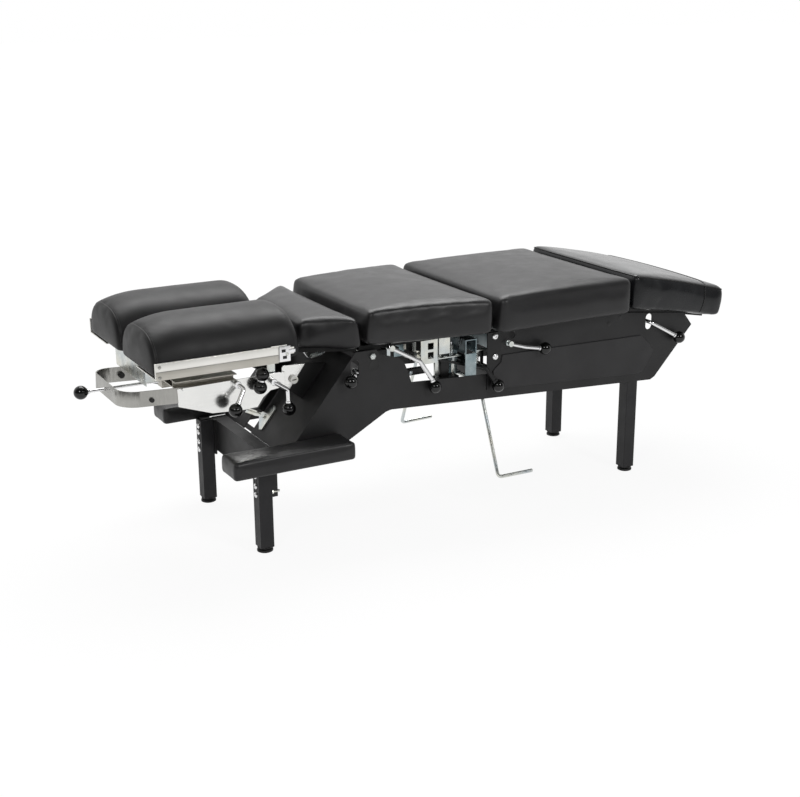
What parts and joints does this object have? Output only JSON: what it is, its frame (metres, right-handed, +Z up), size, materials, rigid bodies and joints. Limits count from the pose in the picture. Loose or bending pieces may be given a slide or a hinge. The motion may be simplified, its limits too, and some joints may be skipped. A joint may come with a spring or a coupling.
{
  "type": "chiropractic table",
  "caption": "Stationary treatment table with a split tilting headpiece, drop sections for chest, back and pelvis, a raising foot section, armrests, foot pedals and side levers.",
  "frame": {"origin": "middle of the bounding box on the floor, between the legs", "axes": "+X from the head end towards the foot end, +Y across the table away from the side with the levers, +Z up from the floor"},
  "size_m": [1.9236, 0.6176, 0.653],
  "materials": {
    "black_powder": "satin",
    "black_steel": "satin",
    "leg_paint": "satin",
    "black_rubber": "matte",
    "black_plastic": "matte",
    "zinc": "satin",
    "black_board": "matte",
    "seat_vinyl": "satin",
    "head_vinyl": "satin",
    "foot_vinyl": "gloss",
    "chrome_rod": "polished",
    "black_knob": "gloss",
    "polished_plate": "polished",
    "brushed_bar": "satin",
    "satin_rail": "satin",
    "cream_nylon": "satin"
  },
  "bodies": {
    "table_frame": {"side_panel_near": "black_powder", "side_panel_far": "black_powder", "front_panel": "black_powder", "front_crossbeam": "black_powder", "rear_crossmember": "black_powder", "mid_crossmembers": "black_powder", "front_leg_near": "leg_paint", "front_leg_far": "leg_paint", "rear_leg_near": "leg_paint", "rear_leg_far": "leg_paint", "levelling_feet": "black_rubber", "end_plugs": "black_plastic", "frame_bolts": "zinc", "side_covers": "black_powder", "lever_plate": "black_steel", "cross_shafts": "zinc", "lever_pins": "zinc", "drop_channels": "zinc", "stop_bumpers": "black_rubber", "cam_housing": "black_steel", "clamp_bracket": "zinc"},
    "thoracic_section": {"thoracic_frame": "black_board", "thoracic_cushion": "seat_vinyl", "thoracic_catch": "zinc"},
    "dorsal_section": {"dorsal_frame": "black_board", "dorsal_cushion": "seat_vinyl", "dorsal_guides": "zinc"},
    "pelvic_section": {"pelvic_frame": "black_board", "pelvic_cushion": "seat_vinyl"},
    "foot_section": {"foot_frame": "black_board", "foot_cushion": "foot_vinyl"},
    "foot_pedals": {"pedal_shaft": "zinc", "pedal_rod_near": "chrome_rod", "pedal_rod_far": "chrome_rod"},
    "thoracic_cocking_lever": {"thoracic_lever": "chrome_rod"},
    "dorsal_cocking_lever": {"dorsal_lever": "chrome_rod"},
    "drop_tension_lever": {"tension_lever": "black_knob"},
    "pelvic_cocking_lever": {"pelvic_lever": "chrome_rod"},
    "foot_section_lever": {"foot_lever": "chrome_rod"},
    "headpiece_carriage": {"head_carriage": "black_steel"},
    "headpiece_frame": {"head_plate_near": "polished_plate", "head_plate_far": "polished_plate", "head_handle": "brushed_bar", "head_cross_tray": "zinc", "pivot_brackets": "polished_plate", "pivot_bolts": "cream_nylon", "handle_bumpers": "black_rubber"},
    "headpiece_drop_deck": {"head_drop_plate": "zinc"},
    "head_pad_near": {"head_cushion_near": "head_vinyl", "head_rail_near": "satin_rail"},
    "head_pad_far": {"head_cushion_far": "head_vinyl", "head_rail_far": "satin_rail"},
    "tilt_release_rod": {"tilt_release": "chrome_rod"},
    "head_drop_handle": {"head_drop_lever": "chrome_rod"},
    "head_tension_knobs": {"head_tension_lever": "black_knob"},
    "head_lock_handle": {"head_lock_lever": "chrome_rod"},
    "armrest_near": {"armrest_pad_near": "seat_vinyl", "armrest_plate_near": "black_board"},
    "armrest_far": {"armrest_pad_far": "seat_vinyl", "armrest_plate_far": "black_board"}
  },
  "joints": [
    {"name": "thoracic_drop", "type": "hinge", "parent": "table_frame", "child": "thoracic_section", "pos_m": [-0.21779, 0, 0.48937], "axis": [0, -1, 0], "range_deg": [0, 2.5]},
    {"name": "dorsal_drop", "type": "hinge", "parent": "table_frame", "child": "dorsal_section", "pos_m": [-0.21779, 0, 0.48937], "axis": [0, 1, 0], "range_deg": [0, 1.2]},
    {"name": "pelvic_drop", "type": "hinge", "parent": "table_frame", "child": "pelvic_section", "pos_m": [0.56422, 0, 0.47737], "axis": [0, -1, 0], "range_deg": [0, 1]},
    {"name": "foot_raise", "type": "hinge", "parent": "table_frame", "child": "foot_section", "pos_m": [0.60321, 0, 0.49137], "axis": [0, -1, 0], "range_deg": [0, 4]},
    {"name": "pedal_press", "type": "hinge", "parent": "table_frame", "child": "foot_pedals", "pos_m": [0.14122, 0, 0.35237], "axis": [0, 1, 0], "range_deg": [0, 12], "stiffness_Nm_per_rad": 4, "springref_deg": -20.05},
    {"name": "thoracic_cock", "type": "hinge", "parent": "table_frame", "child": "thoracic_cocking_lever", "pos_m": [-0.23878, -0.189, 0.44237], "axis": [0, 1, 0], "range_deg": [0, 12]},
    {"name": "dorsal_cock", "type": "hinge", "parent": "table_frame", "child": "dorsal_cocking_lever", "pos_m": [-0.16678, -0.2205, 0.50697], "axis": [0, -1, 0], "range_deg": [0, 20]},
    {"name": "drop_tension", "type": "hinge", "parent": "table_frame", "child": "drop_tension_lever", "pos_m": [0.08221, -0.118, 0.41237], "axis": [-0.4029, 0.9152, 0], "range_deg": [0, 35]},
    {"name": "pelvic_cock", "type": "hinge", "parent": "table_frame", "child": "pelvic_cocking_lever", "pos_m": [0.21022, -0.2215, 0.46837], "axis": [0, -1, 0], "range_deg": [-15, 12]},
    {"name": "foot_lock", "type": "hinge", "parent": "table_frame", "child": "foot_section_lever", "pos_m": [0.67122, -0.192, 0.46937], "axis": [0, -1, 0], "range_deg": [0, 14]},
    {"name": "head_height", "type": "slide", "parent": "table_frame", "child": "headpiece_carriage", "axis": [0.6334, 0, 0.7738], "range_m": [-0.05, 0]},
    {"name": "head_tilt", "type": "hinge", "parent": "headpiece_carriage", "child": "headpiece_frame", "pos_m": [-0.40579, 0, 0.42937], "axis": [0, -1, 0], "range_deg": [-12, 15]},
    {"name": "head_drop", "type": "hinge", "parent": "headpiece_frame", "child": "headpiece_drop_deck", "pos_m": [-0.46979, 0, 0.44137], "axis": [0, -1, 0], "range_deg": [0, 1.5]},
    {"name": "head_pad_near_slide", "type": "slide", "parent": "headpiece_drop_deck", "child": "head_pad_near", "axis": [0, -1, 0], "range_m": [0, 0.025]},
    {"name": "head_pad_far_slide", "type": "slide", "parent": "headpiece_drop_deck", "child": "head_pad_far", "axis": [0, 1, 0], "range_m": [0, 0.025]},
    {"name": "tilt_release_pull", "type": "slide", "parent": "headpiece_frame", "child": "tilt_release_rod", "axis": [-1, 0, 0], "range_m": [0, 0.015], "stiffness_N_per_m": 600, "springref_m": -0.01},
    {"name": "head_drop_cock", "type": "hinge", "parent": "headpiece_frame", "child": "head_drop_handle", "pos_m": [-0.57378, -0.141, 0.44637], "axis": [0, 1, 0], "range_deg": [0, 40]},
    {"name": "head_tension_turn", "type": "hinge", "parent": "headpiece_frame", "child": "head_tension_knobs", "pos_m": [-0.51178, -0.151, 0.44937], "axis": [0, 1, 0], "range_deg": [-40, 40]},
    {"name": "head_lock_turn", "type": "hinge", "parent": "headpiece_frame", "child": "head_lock_handle", "pos_m": [-0.47478, -0.145, 0.43937], "axis": [0, 1, 0], "range_deg": [-20, 20]},
    {"name": "armrest_near_lift", "type": "slide", "parent": "table_frame", "child": "armrest_near", "axis": [0, 0, 1], "range_m": [0, 0.06]},
    {"name": "armrest_far_lift", "type": "slide", "parent": "table_frame", "child": "armrest_far", "axis": [0, 0, 1], "range_m": [0, 0.06]}
  ]
}
